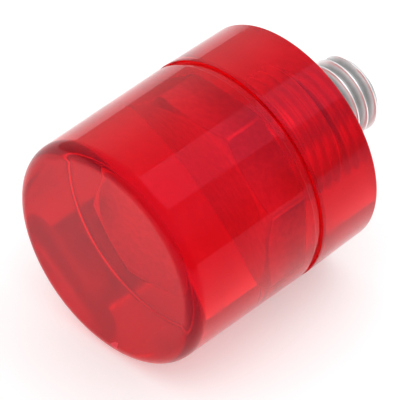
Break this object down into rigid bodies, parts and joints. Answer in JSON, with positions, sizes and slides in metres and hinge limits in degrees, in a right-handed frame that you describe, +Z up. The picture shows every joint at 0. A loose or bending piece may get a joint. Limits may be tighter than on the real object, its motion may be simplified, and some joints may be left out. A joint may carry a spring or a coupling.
{
  "type": "soft-face mallet tip",
  "caption": "Screw-in soft striking tip: a translucent red plastic cylinder with a groove round it, cast over a hex screw whose thread stands out of the back.",
  "frame": {"origin": "centre of the flat striking face, on the tip's axis", "axes": "+Y along the axis from the striking face to the end of the stud; +Z up as the tip lies on its side; +X to the right"},
  "size_m": [0.03, 0.0419, 0.03],
  "materials": {
    "block_plastic": "translucent deep red, polished by the mould, with fine scuffs",
    "collar_plastic": "translucent deep red, lightly turned, with a soft gloss",
    "zinc_steel": "bright zinc plating, mid grey"
  },
  "bodies": {
    "root": {"striking_block": "block_plastic", "rear_collar": "collar_plastic", "hex_screw": "zinc_steel"}
  },
  "joints": []
}
